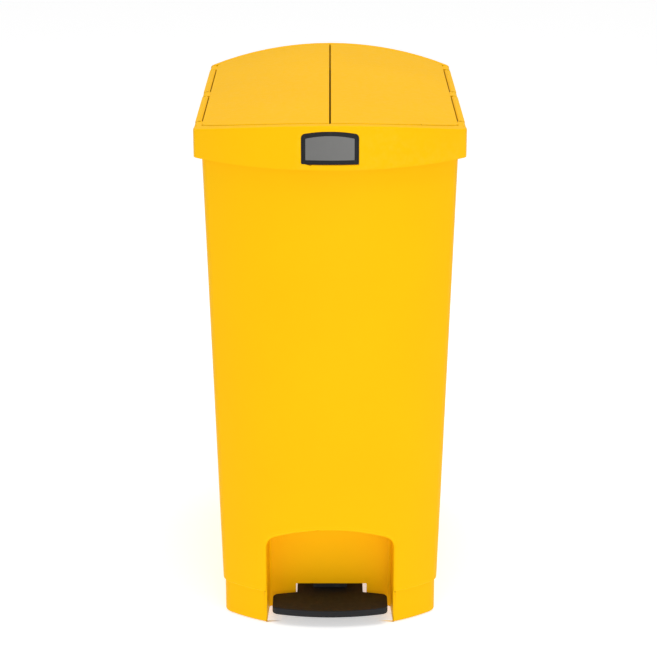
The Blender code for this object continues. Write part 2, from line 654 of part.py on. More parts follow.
def make_lift():
    slot_high = PIN_X
    slot_low = AXIS_X - CRANK
    slot_radius = PIN_RADIUS + PIN_PLAY
    arm_outer = slot_high + slot_radius + YOKE_BORDER
    arm_inner = slot_low - slot_radius - YOKE_BORDER
    arm_top = PIN_Z + slot_radius + YOKE_BORDER
    taper = 0.006
    right = [
        (arm_outer - taper, BEAM_BOTTOM),
        (arm_outer - taper / 2, BEAM_TOP),
        (arm_outer, PIN_Z - slot_radius - YOKE_BORDER),
        (arm_outer, arm_top),
        (arm_inner, arm_top),
        (arm_inner, BEAM_TOP),
    ]
    plan = right + [(-x, z) for x, z in reversed(right)]
    yoke = prism("lift_yoke", plan, YOKE_Y, YOKE_Y + YOKE_THICKNESS, "Y", STEEL)
    cutters = []
    for low, high in ((slot_low, slot_high), (-slot_high, -slot_low)):
        cutters.append((stadium(low, high, PIN_Z, slot_radius), YOKE_Y - 0.01, YOKE_Y + 0.01))
    clamp_z = (BEAM_TOP + BEAM_BOTTOM) / 2
    clamp_screws = [(x, clamp_z) for x in (-0.009, DAMPER_X + 0.008)]
    for x, z in clamp_screws:
        cutters.append((circle(x, z, THIN_SCREW_RADIUS + FIT, 12), YOKE_Y - 0.01, YOKE_Y + 0.01))
    cut(yoke, prisms("yoke_slots", cutters, "Y"))

    clamp_front = YOKE_Y + YOKE_THICKNESS + FIT
    clamp = boxes(
        "yoke_clamp",
        [((-0.0135, clamp_front, BEAM_BOTTOM), (DAMPER_X + 0.0125, clamp_front + CLAMP_DEPTH, BEAM_TOP))],
        GREY,
    )
    rods = [
        (circle(0, ROD_Y, LIFT_ROD_RADIUS + FIT, 20), BEAM_BOTTOM - 0.01, BEAM_TOP - 0.0025),
        (circle(DAMPER_X, ROD_Y, DAMPER_ROD_RADIUS + FIT, 16), BEAM_BOTTOM - 0.01, BEAM_TOP - 0.0025),
    ]
    low, high = clamp_front - 0.01, clamp_front + 0.0095
    screws = [(circle(x, z, THIN_SCREW_RADIUS + FIT, 12), low, high) for x, z in clamp_screws]
    cut(clamp, prisms("clamp_rod_holes", rods), prisms("clamp_screw_holes", screws, "Y"))
    for tag, (x, z) in zip(("left", "right"), clamp_screws):
        screw_piece(f"clamp_screw_{tag}", (x, YOKE_Y - FIT, z), "-Y", 0.0028, THIN_SCREW_RADIUS, 0.0085)

    foot_bottom = LEVER_TOP + FIT
    rod_bottom = foot_bottom + 0.003
    shaft("lift_rod", LIFT_ROD_RADIUS, BEAM_TOP - 0.003 - rod_bottom, (0, ROD_Y, rod_bottom), "Z", STEEL)
    turned(
        "rod_foot",
        [
            (0, 0.0027),
            (LIFT_ROD_RADIUS + FIT, 0.0027),
            (LIFT_ROD_RADIUS + FIT, 0.014),
            (0.0062, 0.014),
            (0.0062, 0.0034),
            (0.0032, 0.0005),
            (0, 0),
        ],
        (0, ROD_Y, foot_bottom),
        "Z",
        BLACK,
    )
    bore = circle(0, ROD_Y, LIFT_ROD_RADIUS + 0.0005, 20)
    for tag, low in (("lower", 0.140), ("upper", 0.400)):
        high = low + GUIDE_HEIGHT
        block = [((-0.009, GUARD_BACK, low), (0.009, ROD_Y + 0.0075, high))]
        guide = boxes(f"rod_guide_{tag}", block, NYLON)
        cut(guide, prism(f"guide_{tag}_bore", bore, low - 0.01, high + 0.01))
    damper_top = BEAM_BOTTOM - 0.012
    damper_low = damper_top - DAMPER_LENGTH
    damper = prism("damper_body", circle(DAMPER_X, ROD_Y, DAMPER_RADIUS), damper_low, damper_top, "Z", BLACK)
    low = (DAMPER_X - 0.0055, GUARD_BACK, damper_low + 0.02)
    join(damper, boxes("damper_mount", [(low, (DAMPER_X + 0.0055, ROD_Y, damper_low + 0.045))]))
    bore = circle(DAMPER_X, ROD_Y, DAMPER_ROD_RADIUS + 0.0005, 16)
    cut(damper, prism("damper_bore", bore, damper_low + 0.010, damper_top + 0.01))
    rod_low = damper_low + 0.018
    length = BEAM_TOP - 0.003 - rod_low
    shaft("damper_rod", DAMPER_ROD_RADIUS, length, (DAMPER_X, ROD_Y, rod_low), "Z", STEEL, 16)


def make_guard():
    gap = 0.0007
    low = FLOOR_TOP + FIT
    foot, wide = body_half(low) - gap, body_half(BODY_TOP) - gap
    drop = RABBET_DROP + RABBET_WALL + FIT
    spans = [wide - 2 * wide * step / 20 for step in range(21)]
    points = [(-foot, low), (foot, low)] + [(x, dome_z(x, drop)) for x in spans]
    guard = prism("linkage_guard", points, GUARD_Y, GUARD_Y + GUARD_THICKNESS, "Y", GREY)
    hole = THIN_SCREW_RADIUS + FIT
    holes = [(circle(x, z, hole, 12), GUARD_Y - 0.01, GUARD_Y + 0.01) for x, z in GUARD_SCREWS]
    cut(guard, prisms("guard_screw_holes", holes, "Y"))
    for index, (x, z) in enumerate(GUARD_SCREWS, 1):
        screw_piece(f"guard_screw_{index}", (x, GUARD_Y - FIT, z), "-Y", 0.003, THIN_SCREW_RADIUS, 0.0095)


def liner_rings(wall, low, high):
    """Rings of the liner's shape: flat in front beside the recess, bowed above it."""
    foot_front = RECESS_BACK - BODY_WALL - 0.0035
    levels = [(low, foot_front, False), (LINER_STEP_LOW, foot_front, False)]
    for height in (LINER_STEP_HIGH, high):
        inset = body_inset(height) + BODY_WALL
        levels.append((height, END - max(inset, MOUTH_FRONT_INSET) - LINER_PLAY * 2, True))
    rings = []
    for height, front, bowed in levels:
        half = min(body_half(height) - 0.004, MOUTH_HALF - LINER_PLAY) - wall
        rear = min(MOUTH_REAR, GUARD_Y) - LINER_PLAY - 0.006 * (high - height) / (high - low) - wall
        sag = level_sag(half, front - wall) if bowed else 0
        front_end = end_arc(half, front - wall, sag, 0.016 - wall)
        rear_end = end_arc(half, rear, 0, 0.012 - wall, 2)
        rings.append((height, rear_end + opposite(front_end)))
    return rings


def make_liner():
    low = FLOOR_TOP + FIT
    liner = loft("inner_liner", liner_rings(0, low, LINER_TOP), GREY)
    hollow = loft("liner_hollow", liner_rings(LINER_WALL, low + LINER_WALL, LINER_TOP + 0.01))
    cut(liner, hollow)


def pedal_outline():
    front = opposite(end_arc(PEDAL_HALF, PEDAL_FRONT, PEDAL_BOW, PEDAL_CORNER))
    across, along = PEDAL_HALF - PEDAL_CORNER, -PEDAL_REAR - 0.0095
    turns = [PEDAL_TURN * step / 6 for step in range(7)]
    neck = [
        (across + PEDAL_CORNER * math.cos(turn), along + PEDAL_CORNER * math.sin(turn))
        for turn in turns
    ]
    neck += [(PEDAL_ARM_HALF, 0.0015 - PEDAL_REAR), (PEDAL_ARM_HALF, -PEDAL_ARM_REAR)]
    return front + neck + [(-x, y) for x, y in reversed(neck)]


def make_pedal():
    origin = (0, AXLE_Y, AXLE_Z)
    top = PEDAL_BOTTOM + PEDAL_THICKNESS
    pedal = prism("pedal", pedal_outline(), PEDAL_BOTTOM, top, "Z", BLACK, origin)
    screws_y = (-PEDAL_ARM_REAR - 0.026, -PEDAL_ARM_REAR - 0.009)
    hole = SCREW_RADIUS + FIT
    holes = [(circle(0, y, hole, 12), PEDAL_BOTTOM + 0.0015, top + 0.01) for y in screws_y]
    cut(pedal, prisms("pedal_screw_holes", holes))
    ear_low = AXLE_Z - BUSH_RADIUS - 0.0032
    bar = [((-LEVER_HALF, -LEVER_FRONT, LEVER_BOTTOM), (LEVER_HALF, LEVER_REAR, LEVER_TOP))]
    lever = boxes("pedal_lever", bar, BLACK_STEEL, origin)
    ears = []
    for side in (-1, 1):
        low = (side * (LEVER_HALF - EAR_STEEL), AXLE_Y - 0.010, ear_low)
        ears.append((low, (side * (LEVER_HALF - 0.0001), AXLE_Y + 0.010, LEVER_BOTTOM + 0.001)))
    join(lever, boxes("lever_ears", ears))
    holes = [(circle(0, y, hole, 12), LEVER_BOTTOM - 0.01, LEVER_TOP + 0.01) for y in screws_y]
    seat = circle(AXLE_Y, AXLE_Z, BUSH_RADIUS + FIT, 20)
    cut(lever, prisms("lever_screw_holes", holes), prism("bush_seat", seat, -0.03, 0.03, "X"))
    for tag, y in zip(("front", "rear"), screws_y):
        screw_piece(f"pedal_screw_{tag}", (0, y, LEVER_TOP + FIT), "Z", 0.0035, SCREW_RADIUS, 0.0085)
    inner = AXLE_RADIUS + ROD_PLAY
    for tag, side in (("left", -1), ("right", 1)):
        flange = 0.0012
        start = LEVER_HALF + FIT
        length = EAR_STEEL + 2 * FIT + 0.0004
        profile = [
            (inner, flange),
            (BUSH_RADIUS + 0.002, flange),
            (BUSH_RADIUS + 0.002, 0),
            (BUSH_RADIUS, 0),
            (BUSH_RADIUS, -length),
            (inner, -length),
        ]
        at, axis = (side * start, AXLE_Y, AXLE_Z), "X" if side > 0 else "-X"
        turned(f"axle_bush_{tag}", profile, at, axis, NYLON, ring=True)


def make_axle():
    half = BRACKET_X + BRACKET_THICKNESS + 0.0035
    shaft("pedal_axle", AXLE_RADIUS, 2 * half, (-half, AXLE_Y, AXLE_Z), "X", STEEL)
    hole = circle(AXLE_Y, AXLE_Z, AXLE_RADIUS + FIT, 20)
    for tag, side in (("left", -1), ("right", 1)):
        inner, outer = side * BRACKET_X, side * (BRACKET_X + BRACKET_THICKNESS)
        top = FLOOR_HEIGHT - FIT
        under = top - BRACKET_THICKNESS
        plate = [((inner, AXLE_Y - 0.012, 0.0055), (outer, AXLE_Y + 0.012, top))]
        bracket = boxes(f"axle_bracket_{tag}", plate, STEEL)
        low = (inner + side * 0.0005, AXLE_Y - 0.0119, under)
        foot = [(low, (side * (BRACKET_X + 0.018), AXLE_Y + 0.0119, top - 0.0001))]
        join(bracket, boxes(f"bracket_foot_{tag}", foot))
        screw_x = side * (BRACKET_X + 0.010)
        hole_up = circle(screw_x, AXLE_Y, SCREW_RADIUS + FIT, 12)
        cut(bracket, prism(f"bracket_bore_{tag}", hole, -0.05, 0.05, "X"))
        cut(bracket, prism(f"bracket_screw_hole_{tag}", hole_up, top - 0.01, top + 0.01))
        screw_piece(f"bracket_screw_{tag}", (screw_x, AXLE_Y, under - FIT), "-Z", 0.0035, SCREW_RADIUS, 0.003)
        profile = [
            (AXLE_RADIUS + FIT, 0.0015),
            (AXLE_RADIUS + 0.003, 0.0015),
            (AXLE_RADIUS + 0.003, 0),
            (AXLE_RADIUS + FIT, 0),
        ]
        at = (outer + side * FIT, AXLE_Y, AXLE_Z)
        turned(f"axle_clip_{tag}", profile, at, "X" if side > 0 else "-X", STEEL, ring=True)


def make_small_pieces():
    for tag, side in (("left", -1), ("right", 1)):
        at = (side * AXIS_X, ROD_FRONT, AXIS_Z)
        shaft(f"{tag}_hinge_rod", ROD_RADIUS, ROD_REAR - ROD_FRONT, at, "Y", STEEL, 12)
        head = YOKE_Y - FIT
        length = EAR_REAR - head
        profile = [(0, 0.0015), (0.0031, 0.0015), (0.0031, 0)]
        profile += [(PIN_RADIUS, 0), (PIN_RADIUS, -length), (0, -length)]
        turned(f"{tag}_crank_pin", profile, (side * PIN_X, head, PIN_Z), "-Y", STEEL, 16)
    for index, (x, y) in enumerate(FRAME_SCREWS, 1):
        seat = dome_z(abs(x) - 0.0036, RABBET_DROP) + FIT
        length = seat - BODY_TOP + 0.0105
        screw_piece(f"frame_screw_{index}", (x, y, seat), "Z", 0.0036, FRAME_SCREW_RADIUS, length)
    profile = [(0, 0.003 - FIT), (0.008, 0.003 - FIT), (0.0085, 0.0006), (0.008, 0), (0, 0)]
    for index, (x, y) in enumerate(FOOT_PLACES, 1):
        turned(f"rubber_foot_{index}", profile, (x, y, 0), "Z", RUBBER)
    radius, off = 0.0033, 0.010
    for tag_y, y in (
        ("front", WING_FRONT_INSET + 0.003 - END),
        ("rear", END - WING_REAR_INSET - 0.003),
    ):
        for tag, side in (("left", -1), ("right", 1)):
            low = dome_z(off - radius, RABBET_DROP) + FIT
            high = dome_z(off + radius, WING_LIP) - FIT
            tall = high - low
            profile = [(0, tall), (radius * 0.9, tall), (radius, tall / 2), (radius, 0), (0, 0)]
            turned(f"bumper_{tag_y}_{tag}", profile, (side * off, y, low), "Z", RUBBER, 16)
    label_solid("label_plate", 0, LABEL_THICKNESS, 0.0001, BLACK)


make_body()
make_frame()
make_wing(-1, "left_wing")
make_wing(1, "right_wing")
make_lift()
make_guard()
make_liner()
make_pedal()
make_axle()
make_small_pieces()
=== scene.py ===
import json
import math

import bmesh
import bpy
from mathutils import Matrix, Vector


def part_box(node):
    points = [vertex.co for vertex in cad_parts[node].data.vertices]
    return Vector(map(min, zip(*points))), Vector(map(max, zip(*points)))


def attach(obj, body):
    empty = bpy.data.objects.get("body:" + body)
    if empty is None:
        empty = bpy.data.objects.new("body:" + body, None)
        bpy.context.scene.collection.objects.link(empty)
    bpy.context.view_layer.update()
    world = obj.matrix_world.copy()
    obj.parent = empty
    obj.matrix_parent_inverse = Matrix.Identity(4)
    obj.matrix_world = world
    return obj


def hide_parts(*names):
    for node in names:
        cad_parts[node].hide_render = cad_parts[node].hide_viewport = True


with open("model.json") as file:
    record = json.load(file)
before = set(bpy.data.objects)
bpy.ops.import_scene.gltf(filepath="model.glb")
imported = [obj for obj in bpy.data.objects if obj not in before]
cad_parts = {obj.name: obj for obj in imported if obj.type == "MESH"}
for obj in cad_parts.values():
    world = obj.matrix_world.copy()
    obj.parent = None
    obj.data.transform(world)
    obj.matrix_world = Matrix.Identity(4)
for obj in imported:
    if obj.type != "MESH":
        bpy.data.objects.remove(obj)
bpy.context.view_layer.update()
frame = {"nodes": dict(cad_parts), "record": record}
print("frame loaded")

# Finishes

bodyPlastic = {
    "name": "bodyPlastic",
    "colour": (0.99, 0.535, 0.0012),
    "shade": (0.97, 0.52, 0.0012),
    # painted shade colour, laid into narrow gaps and inner corners
    "gapShadeTone": (0.42, 0.19, 0.004),
    "roughness": (0.38, 0.50),
    "grain": 2400.0,
    "grainDepth": 0.00002,
    "waves": 14.0,
    "waveDepth": 0.0005,
    "specular": 0.05,
    "scuffs": 0.10,
}
pedalPlastic = {
    "name": "pedalPlastic",
    "colour": (0.0105, 0.0115, 0.014),
    "shade": (0.0075, 0.0082, 0.0102),
    "gapShadeTone": (0.004, 0.004, 0.004),
    "roughness": (0.50, 0.66),
    "grain": 1500.0,
    "grainDepth": 0.00008,
    "waves": 30.0,
    "waveDepth": 0.0004,
    "specular": 0.24,
    "scuffs": 0.16,
}
powderCoat = {
    "name": "powderCoat",
    "colour": (0.018, 0.018, 0.020),
    "shade": (0.012, 0.012, 0.0135),
    "gapShadeTone": (0.005, 0.005, 0.005),
    "roughness": (0.38, 0.52),
    "grain": 900.0,
    "grainDepth": 0.00006,
    "waves": 220.0,
    "waveDepth": 0.00006,
    "specular": 0.35,
    "scuffs": 0.30,
}
innerPlastic = {
    "name": "innerPlastic",
    "colour": (0.16, 0.17, 0.18),
    "shade": (0.125, 0.135, 0.145),
    "gapShadeTone": (0.05, 0.05, 0.055),
    "roughness": (0.45, 0.62),
    "grain": 1800.0,
    "grainDepth": 0.00005,
    "waves": 14.0,
    "waveDepth": 0.0015,
    "specular": 0.4,
    "scuffs": 0.15,
}
nylonPlastic = {
    "name": "nylonPlastic",
    "colour": (0.74, 0.72, 0.65),
    "shade": (0.66, 0.63, 0.55),
    "gapShadeTone": (0.30, 0.27, 0.21),
    "roughness": (0.35, 0.5),
    "grain": 2600.0,
    "grainDepth": 0.00002,
    "waves": 60.0,
    "waveDepth": 0.0001,
    "specular": 0.45,
    "scuffs": 0.10,
}
blankField = {
    "name": "blankField",
    "colour": (0.17, 0.17, 0.165),
    "shade": (0.14, 0.14, 0.136),
    "gapShadeTone": (0.06, 0.06, 0.06),
    "roughness": (0.45, 0.6),
    "grain": 2600.0,
    "grainDepth": 0.00004,
    "waves": 60.0,
    "waveDepth": 0.0001,
    "specular": 0.4,
    "scuffs": 0.12,
}
soleRubber = {
    "name": "soleRubber",
    "colour": (0.022, 0.022, 0.022),
    "shade": (0.035, 0.034, 0.032),
    "gapShadeTone": (0.01, 0.01, 0.01),
    "roughness": (0.72, 0.92),
    "grain": 1200.0,
    "grainDepth": 0.00012,
    "waves": 80.0,
    "waveDepth": 0.0002,
    "specular": 0.3,
    "scuffs": 0.3,
}
zincSteel = {
    "name": "zincSteel",
    "colour": (0.60, 0.61, 0.62),
    "shade": (0.42, 0.43, 0.46),
    "roughness": (0.26, 0.46),
    "spangle": 260.0,
    "drawMarks": 900.0,
    "markDepth": 0.00002,
}


def link(tree, fromNode, output, toNode, socket):
    tree.links.new(fromNode.outputs[output], toNode.inputs[socket])


def noise(tree, coords, scale, detail, roughness=0.5):
    made = tree.nodes.new("ShaderNodeTexNoise")
    made.inputs["Scale"].default_value = scale
    made.inputs["Detail"].default_value = detail
    made.inputs["Roughness"].default_value = roughness
    link(tree, coords, "Object", made, "Vector")
    return made


def ramp(tree, source, output, low, high, start, stop):
    made = tree.nodes.new("ShaderNodeMapRange")
    made.inputs["From Min"].default_value = low
    made.inputs["From Max"].default_value = high
    made.inputs["To Min"].default_value = start
    made.inputs["To Max"].default_value = stop
    link(tree, source, output, made, "Value")
    return made


def blendColour(tree, first, second, factor, output):
    made = tree.nodes.new("ShaderNodeMix")
    made.data_type = "RGBA"
    for socket, value in ((6, first), (7, second)):
        if isinstance(value, tuple):
            made.inputs[socket].default_value = (*value, 1.0)
        else:
            tree.links.new(value.outputs[2], made.inputs[socket])
    link(tree, factor, output, made, 0)
    return made


def startMaterial(name):
    made = bpy.data.materials.new(name)
    made.use_nodes = True
    tree = made.node_tree
    return made, tree, tree.nodes["Principled BSDF"], tree.nodes.new("ShaderNodeTexCoord")


def addBump(tree, height, output, distance, strength=1.0, after=None):
    made = tree.nodes.new("ShaderNodeBump")
    made.inputs["Distance"].default_value = distance
    made.inputs["Strength"].default_value = strength
    link(tree, height, output, made, "Height")
    if after:
        link(tree, after, "Normal", made, "Normal")
    return made


mouldedLook = {
    "clouds": (9.0, 4.0),  # scale and detail of the uneven resin
    "cloudRange": (0.35, 0.68),
    "specks": (170.0, 6.0, 0.65),
    "edgeRange": (0.52, 0.62),  # how pointed an edge is when it starts and ends wearing
    "wearRange": (0.42, 0.72),
    "paleGain": 1.15,
    "paleLift": 0.10,
    # painted shade in narrow gaps: how far the occlusion reaches, its samples, its range and how
    # strongly it darkens
    "gapWidth": 0.005,
    "gapSamples": 8,
    "gapRange": (0.15, 0.62),
    "gapShare": 0.85,
    "glossRange": (0.3, 0.7),
    "waveStrength": 0.6,
    "grainRoughness": 0.6,
}


def mouldedPlastic(finish, look=mouldedLook):
    made, tree, shader, coords = startMaterial(finish["name"])
    clouds = noise(tree, coords, *look["clouds"])
    specks = noise(tree, coords, *look["specks"])
    # Resin that mixed unevenly, then pale rubbed patches on the worn edges
    mottle = ramp(tree, clouds, "Fac", *look["cloudRange"], 0.0, 1.0)
    colour = blendColour(tree, finish["colour"], finish["shade"], mottle, "Result")
    edges = tree.nodes.new("ShaderNodeNewGeometry")
    rubbed = ramp(tree, edges, "Pointiness", *look["edgeRange"], 0.0, 1.0)
    broken = ramp(tree, specks, "Fac", *look["wearRange"], 0.0, finish["scuffs"])
    wear = tree.nodes.new("ShaderNodeMath")
    wear.operation = "MULTIPLY"
    link(tree, rubbed, "Result", wear, 0)
    link(tree, broken, "Result", wear, 1)
    gain, lift = look["paleGain"], look["paleLift"]
    pale = tuple(min(1.0, value * gain + lift) for value in finish["colour"])
    colour = blendColour(tree, colour, pale, wear, "Value")
    # Painted shade: ambient occlusion darkens the colour towards the gap tone in narrow gaps and
    # inner corners
    gapOcclusion = tree.nodes.new("ShaderNodeAmbientOcclusion")
    gapOcclusion.inputs["Distance"].default_value = look["gapWidth"]
    gapOcclusion.samples = look["gapSamples"]
    gapShadeMask = ramp(tree, gapOcclusion, "AO", *look["gapRange"], look["gapShare"], 0.0)
    colour = blendColour(tree, colour, finish["gapShadeTone"], gapShadeMask, "Result")
    tree.links.new(colour.outputs[2], shader.inputs["Base Color"])
    low, high = finish["roughness"]
    gloss = ramp(tree, specks, "Fac", *look["glossRange"], low, high)
    link(tree, gloss, "Result", shader, "Roughness")
    shader.inputs["Specular IOR Level"].default_value = finish["specular"]
    # Long shallow waves of a moulded wall, and the fine grain of the tool
    waves = noise(tree, coords, finish["waves"], 1.0)
    grain = noise(tree, coords, finish["grain"], 2.0, look["grainRoughness"])
    bump = addBump(tree, waves, "Fac", finish["waveDepth"], look["waveStrength"])
    bump = addBump(tree, grain, "Fac", finish["grainDepth"], 1.0, bump)
    link(tree, bump, "Normal", shader, "Normal")
    return made


def platedSteel(finish):
    made, tree, shader, coords = startMaterial(finish["name"])
    cells = tree.nodes.new("ShaderNodeTexVoronoi")
    cells.inputs["Scale"].default_value = finish["spangle"]
    link(tree, coords, "Object", cells, "Vector")
    tone = tree.nodes.new("ShaderNodeSeparateColor")
    link(tree, cells, "Color", tone, "Color")
    patches = ramp(tree, tone, "Red", 0.0, 1.0, 0.0, 0.8)
    colour = blendColour(tree, finish["colour"], finish["shade"], patches, "Result")
    tree.links.new(colour.outputs[2], shader.inputs["Base Color"])
    shader.inputs["Metallic"].default_value = 1.0
    low, high = finish["roughness"]
    smudges = noise(tree, coords, 60.0, 5.0, 0.6)
    gloss = ramp(tree, smudges, "Fac", 0.3, 0.7, low, high)
    link(tree, gloss, "Result", shader, "Roughness")
    marks = noise(tree, coords, finish["drawMarks"], 3.0)
    bump = addBump(tree, marks, "Fac", finish["markDepth"])
    link(tree, bump, "Normal", shader, "Normal")
    return made


yellow = mouldedPlastic(bodyPlastic)
black = mouldedPlastic(pedalPlastic)
coated = mouldedPlastic(powderCoat)
grey = mouldedPlastic(innerPlastic)
nylon = mouldedPlastic(nylonPlastic)
blank = mouldedPlastic(blankField)
rubber = mouldedPlastic(soleRubber)
zinc = platedSteel(zincSteel)
print("finishes made")

# Moulded pieces

creaseAngle = math.radians(32)
flatAngle = math.radians(0.3)
mergeGap = 0.000001
nodeMergeGap = 0.000005
sliverLength = 0.00002


def liftMesh(node):
    # A merged copy of the node, with its flat faces whole again
    bm = bmesh.new()
    bm.from_mesh(frame["nodes"][node].data)
    bmesh.ops.remove_doubles(bm, verts=bm.verts, dist=nodeMergeGap)
    bmesh.ops.dissolve_degenerate(bm, edges=bm.edges, dist=sliverLength)
    bmesh.ops.dissolve_limit(bm, angle_limit=flatAngle, verts=bm.verts, edges=bm.edges)
    return bm


def creases(bm, wanted):
    # The sharp edges that the test wants, given each edge's middle and its two faces' normals
    found = []
    for edge in bm.edges:
        if len(edge.link_faces) == 2 and edge.calc_face_angle(0) > creaseAngle:
            middle = (edge.verts[0].co + edge.verts[1].co) / 2
            if wanted(middle, [face.normal for face in edge.link_faces]):
                found.append(edge)
    return found


def roundOff(bm, edges, size, segments):
    bmesh.ops.bevel(
        bm,
        geom=edges,
        affect="EDGES",
        offset=size,
        offset_type="OFFSET",
        segments=segments,
        profile=0.5,
        material=-1,
        clamp_overlap=False,
    )


def makeObject(bm, name):
    mesh = bpy.data.meshes.new(name)
    bm.to_mesh(mesh)
    bm.free()
    made = bpy.data.objects.new(name, mesh)
    bpy.context.scene.collection.objects.link(made)
    return made


def softenPiece(made, material, body, nodes, soften, steps=2):
    made.data.materials.append(material)
    made.data.polygons.foreach_set("use_smooth", [True] * len(made.data.polygons))
    bevel = made.modifiers.new("softEdges", "BEVEL")
    bevel.width = soften
    bevel.segments = steps
    bevel.limit_method = "ANGLE"
    bevel.angle_limit = creaseAngle
    bevel.use_clamp_overlap = False
    bevel.miter_outer = "MITER_ARC"
    shading = made.modifiers.new("evenShading", "WEIGHTED_NORMAL")
    shading.keep_sharp = True
    shading.weight = 60
    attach(made, body)
    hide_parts(*nodes)
    return made


def finishPiece(bm, name, material, body, nodes, soften, steps=2):
    made = makeObject(bm, name)
    return softenPiece(made, material, body, nodes, soften, steps)


# Body

bodyShape = {
    "half": 0.1325,  # half the bin's width at its rim
    "bowRadius": 0.18956,  # each end's bow at the rim, and how far off its centre is
    "bowCentre": 0.02294,
    "corner": 0.016,
    "wall": 0.0025,
    "top": 0.50588,
    "topInset": 0.0073,
    "footInset": 0.0208,
    "skirtInset": 0.0228,
    "stepHeight": 0.0368,
    "stepFall": 0.001,
    "lipFall": 0.0006,  # the wall's ends slope a little towards the inside
    "skirtFoot": 0.0008,
    "floorUnder": 0.048,
    "floorTop": 0.0505,
    "beltHeight": 0.135,  # a level above the toe recess, which keeps the wall's shading even
    "bowSteps": 26,
    "cornerSteps": 7,
    "edgeRound": 0.0007,
}
recessShape = {
    "half": 0.065,
    "crown": 0.111,
    "rise": 0.016,  # of the arch above its shoulders
    "corner": 0.014,
    "back": -0.140,
    "draft": 0.0012,
    "mouthRound": 0.0045,
    "backRound": 0.004,
    "funnel": 0.0022,
    "funnelDepth": 0.0009,
    "hollowFoot": -0.02,
    "blockLift": 0.0002,
    "reachOut": 0.03,  # how far the hollow stands out past the front
    "steps": 5,
    "slotLeft": -0.0358,
    "slotRight": 0.0385,
    "slotTop": 0.027,
    "slotPast": 0.01,  # how far the cut goes past the back wall's face
}
bossShape = {
    "rimScrew": (0.0045, 0.006),  # half a boss sideways and lengthways
    "rimDepth": 0.016,
    "rimGap": 0.0004,
    "guardScrew": (0.0045, 0.006),
    "guardGap": 0.0003,
    "guardDepth": 0.010,
    "footPad": (0.010, 0.012),
    "footReach": 0.0125,  # out to the skirt
    "footLevels": (0.003, 0.009),
}
rodSlot = {
    "left": -0.0095,
    "right": 0.0325,
    "half": 0.0095,
    "past": 0.01,  # how far the cut goes past the floor's faces
}


def archedEnd(bm, half, radius, centre, corner, cornerSteps, bowSteps):
    # A bowed end with rounded corners, drawn from its right side and mirrored to its left
    before = set(bm.verts)
    across = half - corner
    up = centre + math.sqrt((radius - corner) ** 2 - across**2)
    turn = math.pi / 2 - math.atan2(across, up - centre)
    first = bm.verts.new((half, up, 0))
    spun = bmesh.ops.spin(
        bm, geom=[first], cent=(across, up, 0), axis=(0, 0, 1), angle=turn, steps=cornerSteps
    )
    last = [item for item in spun["geom_last"] if isinstance(item, bmesh.types.BMVert)]
    bmesh.ops.spin(
        bm,
        geom=last,
        cent=(0, centre, 0),
        axis=(0, 0, 1),
        angle=math.pi / 2 - turn,
        steps=bowSteps,
    )
    fresh = [vert for vert in bm.verts if vert not in before]
    edges = list({edge for vert in fresh for edge in vert.link_edges})
    bmesh.ops.mirror(bm, geom=fresh + edges, axis="X", merge_dist=mergeGap)
    fresh = [vert for vert in bm.verts if vert not in before]
    bmesh.ops.remove_doubles(bm, verts=fresh, dist=mergeGap)
    return [vert for vert in bm.verts if vert not in before]


def ends(verts):
    # The two loose ends of a chain, left one first
    return sorted((vert for vert in verts if len(vert.link_edges) == 1), key=lambda v: v.co.x)


def loopEdges(verts):
    return list({edge for vert in verts for edge in vert.link_edges})


def bowedLoop(bm, shape, inset, height, thinner=0.0):
    sizes = (shape["half"] - inset, shape["bowRadius"] - inset, shape["bowCentre"])
    steps = (shape["cornerSteps"], shape["bowSteps"])
    rear = archedEnd(bm, *sizes, shape["corner"] - thinner, *steps)
    front = archedEnd(bm, *sizes, shape["corner"] - thinner, *steps)
    bmesh.ops.scale(bm, verts=front, vec=(1, -1, 1))
    for one, other in zip(ends(rear), ends(front)):
        bm.edges.new((one, other))
    loop = rear + front
    bmesh.ops.translate(bm, verts=loop, vec=(0, 0, height))
    return loopEdges(loop)


def wallInset(shape, height):
    share = (height - shape["stepHeight"]) / (shape["top"] - shape["stepHeight"])
    return shape["footInset"] + (shape["topInset"] - shape["footInset"]) * share


def wallFront(shape, x, height):
    radius = shape["bowRadius"] - wallInset(shape, height)
    return -shape["bowCentre"] - math.sqrt(radius**2 - x**2)


def buildWalls(shape):
    # Up the inside from the floor, over the rim, down the outside and up under the floor
    bm = bmesh.new()
    wall, top, step = shape["wall"], shape["top"], shape["stepHeight"]
    skirt, foot = shape["skirtInset"], shape["skirtFoot"]
    under, floor = shape["floorUnder"], shape["floorTop"]
    belt = shape["beltHeight"]
    levels = [
        (wallInset(shape, floor) + wall, floor, wall),
        (wallInset(shape, belt) + wall, belt, wall),
        (wallInset(shape, top) + wall, top - shape["lipFall"], wall),
        (wallInset(shape, top), top, 0),
        (wallInset(shape, belt), belt, 0),
        (shape["footInset"], step, 0),
        (skirt, step - shape["stepFall"], 0),
        (skirt, foot, 0),
        (skirt + wall, foot + shape["lipFall"], wall),
        (skirt + wall, step - shape["stepFall"], wall),
        (shape["footInset"] + wall, step, wall),
        (wallInset(shape, under) + wall, under, wall),
    ]
    rims = [bowedLoop(bm, shape, *level) for level in levels]
    for one, other in zip(rims, rims[1:]):
        bmesh.ops.bridge_loops(bm, edges=one + other)
    bmesh.ops.contextual_create(bm, geom=rims[0])
    bmesh.ops.contextual_create(bm, geom=rims[-1])
    bmesh.ops.recalc_face_normals(bm, faces=bm.faces)
    return makeObject(bm, "bodyShell")


archSteps = {"corner": 5, "bow": 16}


